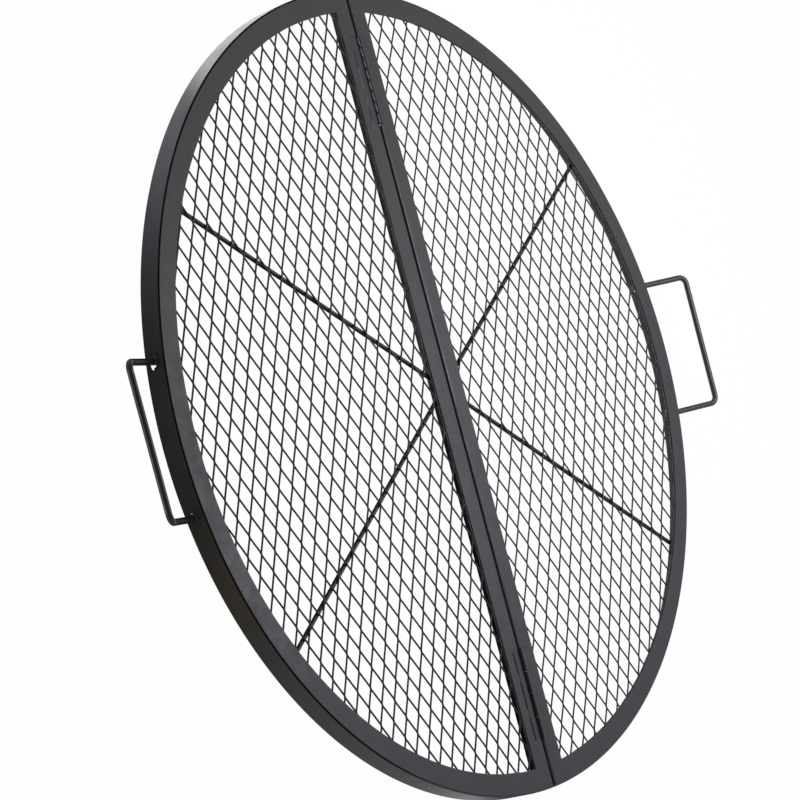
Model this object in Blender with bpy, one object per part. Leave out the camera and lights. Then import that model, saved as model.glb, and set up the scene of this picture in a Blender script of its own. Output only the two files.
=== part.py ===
"""Folding campfire grill: two half-round steel frames joined by two hinges.

Units are metres. The grill lies open on the ground, cooking face up: +Z is up, Y runs along the
fold line and X across it. The origin is on the ground under the middle of the fold line.
The right half (+X) folds over the left half (-X) about the hinge pins.
"""

import math

import bmesh
import bpy
from mathutils import Matrix, Vector
from mathutils.geometry import delaunay_2d_cdt

# Driving dimensions
RIM_RADIUS = 0.457          # outside of the rim wall
WALL_HEIGHT = 0.025         # ground to cooking face
RIM_WALL_THICK = 0.0015
RIM_STEP = 0.0008           # rim wall's top edge below the cooking face
CENTER_WALL_THICK = 0.003
FRAME_THICK = 0.003         # flat D-shaped top frame
RIM_FLANGE = 0.025          # rim wall's outside to the mesh opening
BAR_WIDTH = 0.024           # each half's bar along the fold line
FOLD_GAP = 0.003            # between the two bars at the cooking face
WALL_GAP = 0.0006           # between the two centre walls, which stop the fold when flat

MESH_THICK = 0.002
MESH_PITCH_SHORT = 0.044    # every second strand of the real mesh, across the fold line
MESH_PITCH_LONG = 0.080     # along the fold line
MESH_STRAND = 0.004
MESH_UNDER_FRAME = 0.012    # how far the mesh reaches under the flange
MESH_BORDER = 0.006

ROD_DIAMETER = 0.005
ROD_ANGLE = 33.0            # degrees from X, each rod pointing at the middle of the grill

HANDLE_WIRE = 0.0072
HANDLE_REACH = 0.0600       # rim wall's outside to the grip's axis
HANDLE_GRIP = 0.161         # between the legs' axes at the grip
HANDLE_FOOT = 0.161         # between the legs' axes at the rim wall
HANDLE_RISE = 0.0298        # grip's axis above the legs' feet
HANDLE_DROP = 0.0153        # legs' feet below the cooking face
HANDLE_BEND = 0.009         # bend radius on the wire's axis
HANDLE_HOLE = 0.0105        # oversize hole in the rim wall
HANDLE_HOLE_SHIFT = 0.0007  # from each leg's axis to its hole's, toward the other leg
HANDLE_INSIDE = 0.004       # leg's end past the rim wall's inside

HINGE_LENGTH = 0.1020
HINGE_FROM_RIM = 0.105      # rim wall's outside to the middle of each hinge
HINGE_LEAF_REACH = 0.0118   # fold line to a leaf's outer edge
HINGE_LEAF_THICK = 0.0009
HINGE_PIN = 0.0016
HINGE_RISE = 0.0002         # pins' axis above the cooking face
HINGE_KNUCKLES = 8
HINGE_SLIT = 0.0012         # leaf's outer edge to its notch
HINGE_END_GAP = 0.0004      # leaf's ends to its notch
HINGE_BARREL_GAP = 0.0012   # beside the other leaf's knuckles
HINGE_CURL = 310.0          # degrees of each knuckle round the pin

# Clearances
SEAT = 0.0003               # between pieces that rest on or beside each other
KNUCKLE_GAP = 0.0003

ARC_STEPS = 64              # straight runs in each half's rim

# Worked out from the above
CENTER_WALL_FACE = WALL_GAP / 2
BAR_FACE = FOLD_GAP / 2
BAR_INNER = BAR_FACE + BAR_WIDTH
RIM_INNER = RIM_RADIUS - RIM_WALL_THICK
OPENING_RADIUS = RIM_RADIUS - RIM_FLANGE
RIM_WALL_TOP = WALL_HEIGHT - RIM_STEP
FRAME_RADIUS = RIM_INNER - SEAT
FRAME_BOTTOM = WALL_HEIGHT - FRAME_THICK
WALL_TOP_UNDER_FRAME = FRAME_BOTTOM - SEAT
CENTER_WALL_BACK = CENTER_WALL_FACE + CENTER_WALL_THICK
MESH_TOP = FRAME_BOTTOM - SEAT
MESH_BOTTOM = MESH_TOP - MESH_THICK
MESH_RADIUS = min(OPENING_RADIUS + MESH_UNDER_FRAME, RIM_INNER - SEAT)
MESH_FACE = max(BAR_INNER - MESH_UNDER_FRAME, CENTER_WALL_BACK + SEAT)
ROD_RADIUS = ROD_DIAMETER / 2
ROD_AXIS_Z = MESH_BOTTOM - SEAT - ROD_RADIUS
PIN_RADIUS = HINGE_PIN / 2
BORE_RADIUS = PIN_RADIUS + SEAT
BARREL_RADIUS = BORE_RADIUS + HINGE_LEAF_THICK
PIN_AXIS_Z = WALL_HEIGHT + HINGE_RISE
HINGE_OFFSET = RIM_RADIUS - HINGE_FROM_RIM
KNUCKLE_PITCH = HINGE_LENGTH / HINGE_KNUCKLES
LEAF_INNER = BARREL_RADIUS + HINGE_BARREL_GAP
NOTCH_REACH = HINGE_LEAF_REACH + HINGE_SLIT
NOTCH_HALF = HINGE_LENGTH / 2 + HINGE_END_GAP


def material(name, color, roughness, metallic=0.0):
    """A plain Principled finish."""
    mat = bpy.data.materials.new(name)
    mat.use_nodes = True
    shader = mat.node_tree.nodes["Principled BSDF"]
    shader.inputs["Base Color"].default_value = (*color, 1.0)
    shader.inputs["Roughness"].default_value = roughness
    shader.inputs["Metallic"].default_value = metallic
    return mat


def new_object(name, bm, finish, smooth_angle=None):
    """Turn a bmesh into a named object with its own material."""
    bmesh.ops.recalc_face_normals(bm, faces=bm.faces)
    mesh = bpy.data.meshes.new(name)
    bm.to_mesh(mesh)
    bm.free()
    obj = bpy.data.objects.new(name, mesh)
    bpy.context.scene.collection.objects.link(obj)
    color, roughness = finish
    mesh.materials.append(material(name + "_finish", color, roughness))
    if smooth_angle is not None:
        mesh.shade_smooth()
        mesh.set_sharp_from_angle(angle=math.radians(smooth_angle))
    return obj


def half_empty(name):
    """The parent of one half, with its origin on the pins' common axis."""
    empty = bpy.data.objects.new(name, None)
    empty.location = (0.0, 0.0, PIN_AXIS_Z)
    bpy.context.scene.collection.objects.link(empty)
    return empty


def adopt(obj, parent):
    """Parent an object and keep it where it is."""
    obj.parent = parent
    obj.matrix_parent_inverse = Matrix.Translation(parent.location).inverted()


def arc_through(radius, face, steps):
    """Points of a half circle about the origin cut off at x = face, from front to rear (+X side)."""
    end = math.acos(face / radius)
    return [
        (radius * math.cos(a), radius * math.sin(a))
        for a in (-end + 2 * end * i / steps for i in range(steps + 1))
    ]


def mirrored(points, side):
    """Outline points on the +X side, or their mirror image."""
    return [(side * x, y) for x, y in points]


def counter_clockwise(outline):
    """The same outline, turned the way the plate maker needs."""
    area = 0.0
    for (x0, y0), (x1, y1) in zip(outline, outline[1:] + outline[:1]):
        area += x0 * y1 - x1 * y0
    return outline if area > 0 else outline[::-1]


def pierced_plate(outline, holes, ribs, place):
    """A closed plate of one thickness with holes through it.

    outline and holes are lists of (u, v) on the flat plate, and ribs are straight lines on which
    it may bend. place(u, v, face) gives the position in space, on face 0 or face 1.
    """
    points = []
    loops = []
    for loop in [outline] + holes:
        start = len(points)
        points += [Vector(p) for p in counter_clockwise(loop)]
        loops.append(list(range(start, len(points))))
    lines = []
    for rib in ribs:
        lines.append((len(points), len(points) + 1))
        points += [Vector(p) for p in rib]
    verts, _, faces, _, _, sources = delaunay_2d_cdt(points, lines, loops, 1, 1e-7)
    solid = [face for face, source in zip(faces, sources) if source == [0]]
    used = sorted({i for face in solid for i in face})
    bm = bmesh.new()
    sheets = []
    for side in (0, 1):
        sheets.append({i: bm.verts.new(place(verts[i].x, verts[i].y, side)) for i in used})
    runs = set()
    for face in solid:
        bm.faces.new([sheets[0][i] for i in reversed(face)])
        bm.faces.new([sheets[1][i] for i in face])
        runs.update(zip(face, face[1:] + face[:1]))
    for i, j in sorted(runs):
        if (j, i) not in runs:
            bm.faces.new((sheets[0][i], sheets[0][j], sheets[1][j], sheets[1][i]))
    return bm


def flat_between(z_low, z_high):
    """Places a plate flat, between two heights."""
    def place(x, y, face):
        return (x, y, z_high if face else z_low)
    return place


def frame_outline():
    """The top frame's outside on the +X side, with the two hinge notches in its bar."""
    outline = arc_through(FRAME_RADIUS, BAR_FACE, ARC_STEPS)
    for middle in (HINGE_OFFSET, -HINGE_OFFSET):
        outline += [
            (BAR_FACE, middle + NOTCH_HALF),
            (NOTCH_REACH, middle + NOTCH_HALF),
            (NOTCH_REACH, middle - NOTCH_HALF),
            (BAR_FACE, middle - NOTCH_HALF),
        ]
    return outline


def make_top_frame(name, side, finish):
    """Flat D-shaped frame: the rim's flange and the bar along the fold line, in one piece."""
    opening = arc_through(OPENING_RADIUS, BAR_INNER, ARC_STEPS)
    outline = mirrored(frame_outline(), side)
    bm = pierced_plate(outline, [mirrored(opening, side)], [], flat_between(FRAME_BOTTOM, WALL_HEIGHT))
    return new_object(name, bm, finish)


def make_rim_wall(name, side, finish, handle):
    """Rolled strip round the frame, with two holes for the handle's legs.

    It is laid out flat, with u along the strip in straight runs, and then bent round the rim.
    """
    outer = arc_through(RIM_RADIUS, BAR_FACE, ARC_STEPS)
    inner = arc_through(RIM_INNER, BAR_FACE, ARC_STEPS)

    def place(u, z, face):
        run = min(int(u), ARC_STEPS - 1)
        part = u - run
        circle = outer if face else inner
        x = circle[run][0] * (1 - part) + circle[run + 1][0] * part
        y = circle[run][1] * (1 - part) + circle[run + 1][1] * part
        return (side * x, y, z)

    top = [(float(u), RIM_WALL_TOP) for u in range(ARC_STEPS + 1)]
    bottom = [(float(u), 0.0) for u in range(ARC_STEPS + 1)]
    ribs = [(low, high) for low, high in zip(bottom[1:-1], top[1:-1])]
    run_angle = 2 * math.acos(BAR_FACE / RIM_RADIUS) / ARC_STEPS
    wall_middle = RIM_RADIUS - RIM_WALL_THICK / 2
    holes = []
    for end in (1, -1):
        foot, outward = handle_leg(side, end, handle)
        square = Vector((foot.x, foot.y, 0.0)).normalized()
        leg = foot - outward * (RIM_WALL_THICK / 2 / outward.dot(square))
        centre_y = leg.y - end * HANDLE_HOLE_SHIFT
        centre_u = ARC_STEPS / 2 + math.asin(centre_y / wall_middle) / run_angle
        hole = []
        for k in range(16):
            a = 2 * math.pi * (k + 0.5) / 16
            reach_u = HANDLE_HOLE / 2 * math.cos(a) / wall_middle / run_angle
            hole.append((centre_u + reach_u, leg.z + HANDLE_HOLE / 2 * math.sin(a)))
        holes.append(hole)
    bm = pierced_plate(bottom + top[::-1], holes, ribs, place)
    return new_object(name, bm, finish, smooth_angle=30)


def make_center_wall(name, side, finish):
    """Straight strip under the bar. The two close face to face when the grill is flat."""
    reach = math.sqrt(RIM_INNER**2 - CENTER_WALL_BACK**2) - SEAT
    outline = [
        (CENTER_WALL_FACE, -reach),
        (CENTER_WALL_BACK, -reach),
        (CENTER_WALL_BACK, reach),
        (CENTER_WALL_FACE, reach),
    ]
    bm = pierced_plate(mirrored(outline, side), [], [], flat_between(0.0, WALL_TOP_UNDER_FRAME))
    return new_object(name, bm, finish)


def clip_to_half_round(polygon, face, radius):
    """Clip a convex polygon to x > face inside a circle about the origin."""
    clipped = []
    for i, here in enumerate(polygon):
        there = polygon[(i + 1) % len(polygon)]
        if here[0] >= face:
            clipped.append(here)
        if (here[0] - face) * (there[0] - face) < 0:
            t = (face - here[0]) / (there[0] - here[0])
            clipped.append((face, here[1] + t * (there[1] - here[1])))
    if len(clipped) < 3:
        return []
    rounded = []
    for i, here in enumerate(clipped):
        there = clipped[(i + 1) % len(clipped)]
        if math.hypot(*here) <= radius:
            rounded.append(here)
        rounded += circle_crossings(here, there, radius)
    return rounded


def circle_crossings(here, there, radius):
    """Where a straight run crosses a circle about the origin, in order along the run."""
    dx, dy = there[0] - here[0], there[1] - here[1]
    a = dx * dx + dy * dy
    b = 2 * (here[0] * dx + here[1] * dy)
    c = here[0] ** 2 + here[1] ** 2 - radius**2
    root = b * b - 4 * a * c
    if root <= 0:
        return []
    steps = [(-b - math.sqrt(root)) / (2 * a), (-b + math.sqrt(root)) / (2 * a)]
    return [(here[0] + t * dx, here[1] + t * dy) for t in steps if 0 < t < 1]


def polygon_area(polygon):
    """Area inside a closed outline."""
    total = 0.0
    for (x0, y0), (x1, y1) in zip(polygon, polygon[1:] + polygon[:1]):
        total += x0 * y1 - x1 * y0
    return abs(total) / 2


def mesh_openings():
    """The diamonds between strands on the +X side, clipped to the mesh's border."""
    half_strand = MESH_STRAND / 2
    slope = math.hypot(MESH_PITCH_SHORT, MESH_PITCH_LONG)
    half_short = MESH_PITCH_SHORT / 2 - half_strand * slope / MESH_PITCH_LONG
    half_long = MESH_PITCH_LONG / 2 - half_strand * slope / MESH_PITCH_SHORT
    face = MESH_FACE + MESH_BORDER
    radius = MESH_RADIUS - MESH_BORDER
    smallest = (3 * MESH_STRAND) ** 2 / 2
    openings = []
    columns = int(2 * radius / MESH_PITCH_SHORT) + 2
    rows = int(radius / MESH_PITCH_LONG) + 2
    for column in range(columns):
        for row in range(-rows, rows + 1):
            x = face + column * MESH_PITCH_SHORT / 2
            y = (row + 0.5 * (column % 2)) * MESH_PITCH_LONG
            diamond = [(x + half_short, y), (x, y + half_long), (x - half_short, y), (x, y - half_long)]
            opening = clip_to_half_round(diamond, face, radius)
            if len(opening) >= 3 and polygon_area(opening) > smallest:
                openings.append(opening)
    return openings


def make_mesh(name, side, finish):
    """Expanded steel mesh under the frame, at twice the real pitch."""
    outline = arc_through(MESH_RADIUS, MESH_FACE, ARC_STEPS)
    holes = [mirrored(opening, side) for opening in mesh_openings()]
    bm = pierced_plate(mirrored(outline, side), holes, [], flat_between(MESH_BOTTOM, MESH_TOP))
    return new_object(name, bm, finish)


def make_rod(name, side, end, finish):
    """Round rod under the mesh, from the centre wall to the rim wall."""
    angle = math.radians(ROD_ANGLE)
    along = Vector((side * math.cos(angle), end * math.sin(angle), 0.0))
    # the round end's edge comes nearest to a wall on the side that the rod leans to
    start = (CENTER_WALL_BACK + SEAT + ROD_RADIUS * math.sin(angle)) / math.cos(angle)
    stop = math.sqrt((RIM_INNER - SEAT) ** 2 - ROD_RADIUS**2)
    bm = bmesh.new()
    bmesh.ops.create_cone(
        bm,
        cap_ends=True,
        segments=12,
        radius1=ROD_RADIUS,
        radius2=ROD_RADIUS,
        depth=stop - start,
    )
    middle = along * (start + stop) / 2 + Vector((0.0, 0.0, ROD_AXIS_Z))
    turn = along.to_track_quat("Z", "Y").to_matrix().to_4x4()
    bmesh.ops.transform(bm, matrix=Matrix.Translation(middle) @ turn, verts=bm.verts)
    return new_object(name, bm, finish, smooth_angle=40)


def handle_leg(side, end, handle):
    """Where a leg's axis meets the rim wall's outside, and the way it points outward."""
    shift, twist = handle
    foot_y = shift + end * HANDLE_FOOT / 2
    foot_x = side * math.sqrt(RIM_RADIUS**2 - foot_y**2)
    foot = Vector((foot_x, foot_y, WALL_HEIGHT - HANDLE_DROP))
    corner_y = shift + end * HANDLE_GRIP / 2
    corner_z = foot.z + HANDLE_RISE + end * twist
    corner = Vector((side * (RIM_RADIUS + HANDLE_REACH), corner_y, corner_z))
    return foot, (corner - foot).normalized()


def rounded_path(points, radius, steps):
    """Points along a bent wire's axis, each corner an arc."""
    path = [points[0]]
    for before, corner, after in zip(points, points[1:], points[2:]):
        back = (before - corner).normalized()
        ahead = (after - corner).normalized()
        half = back.angle(ahead) / 2
        start = corner + back * radius / math.tan(half)
        centre = corner + (back + ahead).normalized() * radius / math.sin(half)
        sweep = math.pi - 2 * half
        axis = ahead.cross(back).normalized()
        for i in range(steps + 1):
            path.append(centre + Matrix.Rotation(sweep * i / steps, 3, axis) @ (start - centre))
    path.append(points[-1])
    return path


def sweep_round(path, radius, sides):
    """A closed round bar along a path."""
    bm = bmesh.new()
    rings = []
    tangent = (path[1] - path[0]).normalized()
    across = tangent.orthogonal().normalized()
    for i, point in enumerate(path):
        before = path[max(i - 1, 0)]
        after = path[min(i + 1, len(path) - 1)]
        new_tangent = (after - before).normalized()
        across = tangent.rotation_difference(new_tangent) @ across
        across = (across - new_tangent * across.dot(new_tangent)).normalized()
        tangent = new_tangent
        up = tangent.cross(across)
        ring = []
        for k in range(sides):
            a = 2 * math.pi * k / sides
            ring.append(bm.verts.new(point + radius * (math.cos(a) * across + math.sin(a) * up)))
        rings.append(ring)
    for near, far in zip(rings, rings[1:]):
        for k in range(sides):
            m = (k + 1) % sides
            bm.faces.new((near[k], near[m], far[m], far[k]))
    bm.faces.new(rings[0])
    bm.faces.new(rings[-1])
    return bm


def make_handle(name, side, handle, finish):
    """Bent wire handle: two legs through the rim wall and a grip across them."""
    corners = []
    ends = []
    for end in (1, -1):
        foot, outward = handle_leg(side, end, handle)
        run = (RIM_RADIUS + HANDLE_REACH - abs(foot.x)) / abs(outward.x)
        corners.append(foot + outward * run)
        ends.append(foot - outward * (RIM_WALL_THICK + HANDLE_INSIDE))
    points = [ends[0], corners[0], corners[1], ends[1]]
    bm = sweep_round(rounded_path(points, HANDLE_BEND, 6), HANDLE_WIRE / 2, 12)
    return new_object(name, bm, finish, smooth_angle=40)


def knuckle_profile():
    """Curl of a +X leaf, from the leaf's bottom edge round the pin and back: (x, z) points."""
    curl_steps = 13
    outer_start = -math.asin((HINGE_RISE + HINGE_LEAF_THICK) / BARREL_RADIUS)
    inner_start = -math.asin(HINGE_RISE / BORE_RADIUS)
    end = outer_start - math.radians(HINGE_CURL)
    outer = []
    inner = []
    for i in range(curl_steps + 1):
        a = outer_start + (end - outer_start) * i / curl_steps
        b = inner_start + (end - inner_start) * i / curl_steps
        outer.append((BARREL_RADIUS * math.cos(a), PIN_AXIS_Z + BARREL_RADIUS * math.sin(a)))
        inner.append((BORE_RADIUS * math.cos(b), PIN_AXIS_Z + BORE_RADIUS * math.sin(b)))
    return outer + inner[::-1]


def make_leaf(name, side, middle, first, finish):
    """Hinge leaf lying flush in its notch, with every second knuckle curled round the pin."""
    bm = bmesh.new()
    low_z = WALL_HEIGHT - HINGE_LEAF_THICK
    top_z = WALL_HEIGHT
    front = middle - HINGE_LENGTH / 2
    rear = middle + HINGE_LENGTH / 2
    knuckles = []
    stations = [front]
    for k in range(first, HINGE_KNUCKLES, 2):
        start = front if k == 0 else front + k * KNUCKLE_PITCH + KNUCKLE_GAP / 2
        stop = rear if k == HINGE_KNUCKLES - 1 else front + (k + 1) * KNUCKLE_PITCH - KNUCKLE_GAP / 2
        knuckles.append((start, stop))
        stations += [y for y in (start, stop) if y not in (front, rear)]
    stations.append(rear)
    corners = {}

    def face(*points):
        ring = []
        for point in points:
            if point not in corners:
                x, y, z = point
                corners[point] = bm.verts.new((side * x, y, z))
            ring.append(corners[point])
        bm.faces.new(ring)

    # the flat of the leaf
    for z in (low_z, top_z):
        inner_side = [(LEAF_INNER, y, z) for y in reversed(stations)]
        face((HINGE_LEAF_REACH, front, z), (HINGE_LEAF_REACH, rear, z), *inner_side)
    face(
        (HINGE_LEAF_REACH, front, low_z),
        (HINGE_LEAF_REACH, rear, low_z),
        (HINGE_LEAF_REACH, rear, top_z),
        (HINGE_LEAF_REACH, front, top_z),
    )
    for y in (front, rear):
        face(
            (LEAF_INNER, y, low_z),
            (HINGE_LEAF_REACH, y, low_z),
            (HINGE_LEAF_REACH, y, top_z),
            (LEAF_INNER, y, top_z),
        )
    for start, stop in zip(stations, stations[1:]):
        if (start, stop) not in knuckles:
            face(
                (LEAF_INNER, start, low_z),
                (LEAF_INNER, stop, low_z),
                (LEAF_INNER, stop, top_z),
                (LEAF_INNER, start, top_z),
            )
    # its knuckles
    curl = [(LEAF_INNER, low_z)] + knuckle_profile() + [(LEAF_INNER, top_z)]
    for start, stop in knuckles:
        for (xa, za), (xb, zb) in zip(curl, curl[1:]):
            face((xa, start, za), (xb, start, zb), (xb, stop, zb), (xa, stop, za))
        for y in (start, stop):
            face(*[(x, y, z) for x, z in curl])
    return new_object(name, bm, finish, smooth_angle=40)


def make_pin(name, middle, finish):
    """Straight pin through all the knuckles."""
    bm = bmesh.new()
    bmesh.ops.create_cone(
        bm,
        cap_ends=True,
        segments=12,
        radius1=PIN_RADIUS,
        radius2=PIN_RADIUS,
        depth=HINGE_LENGTH,
    )
    turn = Matrix.Rotation(math.pi / 2, 4, "X")
    bmesh.ops.transform(bm, matrix=Matrix.Translation((0.0, middle, PIN_AXIS_Z)) @ turn, verts=bm.verts)
    return new_object(name, bm, finish, smooth_angle=40)


# Finishes: colour and roughness
COATED_STEEL = ((0.075, 0.074, 0.080), 0.42)
COATED_WALL = ((0.060, 0.060, 0.064), 0.38)
COATED_MESH = ((0.050, 0.044, 0.042), 0.50)
COATED_WIRE = ((0.040, 0.039, 0.040), 0.32)
COATED_HINGE = ((0.070, 0.069, 0.074), 0.42)

# Each handle is welded on by eye: its shift along the rim, and how far its grip's rear end rises
HANDLE_SET = {"left": (0.0004, -0.0011), "right": (-0.0042, 0.0010)}


def main():
    for obj in list(bpy.data.objects):
        bpy.data.objects.remove(obj, do_unlink=True)

    halves = {}
    for label, side in (("left", -1), ("right", 1)):
        parent = half_empty(label + "_half")
        halves[label] = parent
        pieces = [
            make_top_frame(label + "_top_frame", side, COATED_STEEL),
            make_rim_wall(label + "_rim_wall", side, COATED_WALL, HANDLE_SET[label]),
            make_center_wall(label + "_center_wall", side, COATED_WALL),
            make_mesh(label + "_mesh", side, COATED_MESH),
            make_rod(label + "_rear_rod", side, 1, COATED_WIRE),
            make_rod(label + "_front_rod", side, -1, COATED_WIRE),
            make_handle(label + "_handle", side, HANDLE_SET[label], COATED_WIRE),
        ]
        for piece in pieces:
            adopt(piece, parent)

    for place, middle in (("rear", HINGE_OFFSET), ("front", -HINGE_OFFSET)):
        left = make_leaf(place + "_hinge_left_leaf", -1, middle, 1, COATED_HINGE)
        right = make_leaf(place + "_hinge_right_leaf", 1, middle, 0, COATED_HINGE)
        pin = make_pin(place + "_hinge_pin", middle, COATED_HINGE)
        adopt(left, halves["left"])
        adopt(pin, halves["left"])
        adopt(right, halves["right"])


main()
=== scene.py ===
"""Looks of the folding campfire grill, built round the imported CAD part.

Metres, +Z up. The cooking face is level at z = 0.025, Y runs along the fold line, X across it.
"""

import math
import random

import bmesh
import bpy
from mathutils import Matrix, Vector, noise
from mathutils.geometry import delaunay_2d_cdt


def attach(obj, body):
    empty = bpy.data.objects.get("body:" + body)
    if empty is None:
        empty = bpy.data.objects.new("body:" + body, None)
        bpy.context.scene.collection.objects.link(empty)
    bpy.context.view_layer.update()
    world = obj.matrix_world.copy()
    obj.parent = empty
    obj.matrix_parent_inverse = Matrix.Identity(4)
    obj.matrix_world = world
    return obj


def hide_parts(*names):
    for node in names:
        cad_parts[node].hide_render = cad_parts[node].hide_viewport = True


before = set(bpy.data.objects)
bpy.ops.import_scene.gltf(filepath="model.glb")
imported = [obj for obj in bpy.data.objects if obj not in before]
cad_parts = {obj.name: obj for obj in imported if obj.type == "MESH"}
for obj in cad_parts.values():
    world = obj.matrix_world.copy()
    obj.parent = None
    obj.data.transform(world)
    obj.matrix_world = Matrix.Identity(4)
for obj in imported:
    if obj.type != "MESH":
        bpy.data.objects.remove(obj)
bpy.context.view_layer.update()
# One seed for all chance, the noise of the weld beads included
SEED = 11
dice = random.Random(SEED)
noise.seed_set(SEED)

# Sizes of the CAD part: frames and rim walls
RIM = 0.457
RIM_IN = 0.4555
RIM_TOP = 0.0242
PLATE_RADIUS = 0.4552
OPENING = 0.432
FACE = 0.025
PLATE_LOW = 0.022
BAR_OUT = 0.0015
BAR_IN = 0.0255
WALL_BACK = 0.0033
WELD_GAP = 0.0003

# Mesh, rods and handles. A handle is (side, its shift along Y, how far the rear end of its grip
# is up and the front end down)
MESH_REACH = 0.444
MESH_SIDE = 0.0135
ROD_R = 0.0025
ROD_Z = 0.0169
WIRE_R = 0.00353
HANDLE = {"left": (-1, 0.0004, -0.0011), "right": (1, -0.0042, 0.0010)}
LEG_Y = 0.0805
LEG_Z = 0.0097
GRIP_X = 0.5170
GRIP_Z = 0.0395

# Hinges, their leaves' edges by side, and the notches in the frames
HINGE_Y = {"rear": 0.352, "front": -0.352}
HINGE_HALF = 0.051
KNUCKLES = 8
KNUCKLE = 2 * HINGE_HALF / KNUCKLES
LEAF_OUT = 0.0118
SHORT_LEAF_OUT = 0.0110
LEAF_IN = {-1: 0.0027, 1: 0.0043}
LEAF_LOW = 0.0241
PIN_Z = 0.0252
PIN_R = 0.0008
BORE_R = 0.0011
BARREL_R = 0.0020
NOTCH = 0.0130
NOTCH_HALF = 0.0514

SIDES = (("left", -1), ("right", 1))
ENDS = (("rear", 1), ("front", -1))
UP = Vector((0.0, 0.0, 1.0))


# Materials

class Graph:
    """A node tree, with a short call for each kind of node that is used here."""

    def __init__(self, tree):
        self.tree = tree

    def add(self, kind, **settings):
        node = self.tree.nodes.new(kind)
        for name, value in settings.items():
            setattr(node, name, value)
        return node

    def put(self, value, socket):
        """A link where the value is a socket. A tuple is a colour without its alpha."""
        if isinstance(value, bpy.types.NodeSocket):
            self.tree.links.new(value, socket)
        elif isinstance(value, tuple):
            socket.default_value = (*value, 1.0)
        else:
            socket.default_value = value

    def calc(self, how, a, b=0.0):
        node = self.add("ShaderNodeMath", operation=how)
        self.put(a, node.inputs[0])
        self.put(b, node.inputs[1])
        return node.outputs["Value"]

    def measure(self, how, vector, other=None):
        """The LENGTH of a vector, or its DOT_PRODUCT with another."""
        node = self.add("ShaderNodeVectorMath", operation=how)
        self.put(vector, node.inputs[0])
        if other is not None:
            self.put(other, node.inputs[1])
        return node.outputs["Value"]

    def mix(self, fac, a, b, kind="FLOAT"):
        node = self.add("ShaderNodeMix", data_type=kind)
        for value, name in ((fac, "Factor"), (a, "A"), (b, "B")):
            self.put(value, node.inputs[name])
        return node.outputs["Result"]

    def blend(self, fac, a, b):
        return self.mix(fac, a, b, "RGBA")

    def remap(self, value, low, high, to_low=0.0, to_high=1.0, how="LINEAR"):
        node = self.add("ShaderNodeMapRange", interpolation_type=how)
        self.put(value, node.inputs["Value"])
        for name, end in (("From Min", low), ("From Max", high), ("To Min", to_low), ("To Max", to_high)):
            self.put(end, node.inputs[name])
        return node.outputs["Result"]

    def field(self, place, scale, detail, rough=0.5):
        node = self.add("ShaderNodeTexNoise")
        for value, name in ((place, "Vector"), (scale, "Scale"), (detail, "Detail"), (rough, "Roughness")):
            self.put(value, node.inputs[name])
        return node.outputs["Fac"]

    def toward(self, vector, direction, low, high, at_low, at_high):
        """A soft step by how much a direction or place lies toward another."""
        dot = self.measure("DOT_PRODUCT", vector, Vector(direction).normalized())
        return self.remap(dot, low, high, at_low, at_high, "SMOOTHSTEP")


def scaled(color, factor, lift=0.0):
    return tuple(min(1.0, c * factor + lift) for c in color)


def bands(graph, apart, wanted):
    """A mask of soft bands, each (coordinate, place, width): X, Y, Z, away from x = 0, or radius."""
    total = None
    for coordinate, where, width in wanted:
        if coordinate == "radius":
            level = graph.add("ShaderNodeCombineXYZ")
            graph.put(apart["X"], level.inputs["X"])
            graph.put(apart["Y"], level.inputs["Y"])
            source = graph.measure("LENGTH", level.outputs["Vector"])
        elif coordinate == "away":
            source = graph.calc("ABSOLUTE", apart["X"])
        else:
            source = apart[coordinate]
        near = graph.calc("ABSOLUTE", graph.calc("SUBTRACT", source, where))
        band = graph.remap(near, 0.0, width, 1.0, 0.0)
        total = band if total is None else graph.calc("MAXIMUM", total, band)
    return total


# The noise that each feature of a coat comes from: scale per metre, detail, roughness
CLOUDS = (7.0, 4.0, 0.6)
SMUDGES = (38.0, 3.0)
MOTTLES = (60.0, 4.0, 0.65)
CHIPS = (160.0, 5.0, 0.7)
PEEL = (620.0, 2.0)
GRAINS = (2600.0, 2.0)
FINE_PEEL = (2600.0, 1.0)
PEEL_HEIGHT = 0.00005
FINE_SHARE = 0.35
# The colour of painted shade
SHADE_PAINT = (0.003, 0.003, 0.003)
# The stretch of each noise that is used, and of the bands of painted shade
TONE_SPAN = (0.75, 1.25)
GRAIN_SPAN = (0.62, 0.74)
ROUGH_SPAN = (0.7, 1.3)
SHADE_SPAN = (0.0, 0.6)
# A grain and a worn edge are this much lighter than the coat: factor, and what is added
GRAIN_TONE = (2.1, 0.010)
WORN_TONE = (1.7, 0.012)
# How the chips' noise turns into spots: faintly worn ones, and spots of painted highlight. From, to, least
# and most of each
RUBBED_FAINTLY = (0.42, 0.70, 0.0, 0.55)
HIGHLIGHT_SPOTS = (0.30, 0.50, 0.2, 1.0)
# Where a dashed painted highlight ends on a knuckle, as a share of the pitch from its middle, and how it
# leans
DASH_ENDS = (0.26, 0.40)
DASH_X = 0.0013
DASH_LEAN = 0.0012
DASH_WIDTH = (0.0003, 0.0006)
# From y to y the coat takes on the colour of its front end
FRONT_BLEND = (0.42, -0.42)


def dashed_highlight(graph, apart, rubbed, dashes):
    """A painted highlight band that breaks off between the knuckles and leans across each of them."""
    start, pitch = dashes
    turns = graph.calc("DIVIDE", graph.calc("SUBTRACT", apart["Y"], start), pitch)
    part = graph.calc("SUBTRACT", graph.calc("FRACT", turns), 0.5)
    on_knuckle = graph.remap(graph.calc("ABSOLUTE", part), *DASH_ENDS, 1.0, 0.0)
    lean = graph.calc("ADD", graph.calc("ADD", apart["X"], DASH_X), graph.calc("MULTIPLY", part, DASH_LEAN))
    on_line = graph.remap(graph.calc("ABSOLUTE", lean), *DASH_WIDTH, 1.0, 0.0)
    return graph.calc("MULTIPLY", graph.calc("MULTIPLY", rubbed, on_knuckle), on_line)


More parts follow.
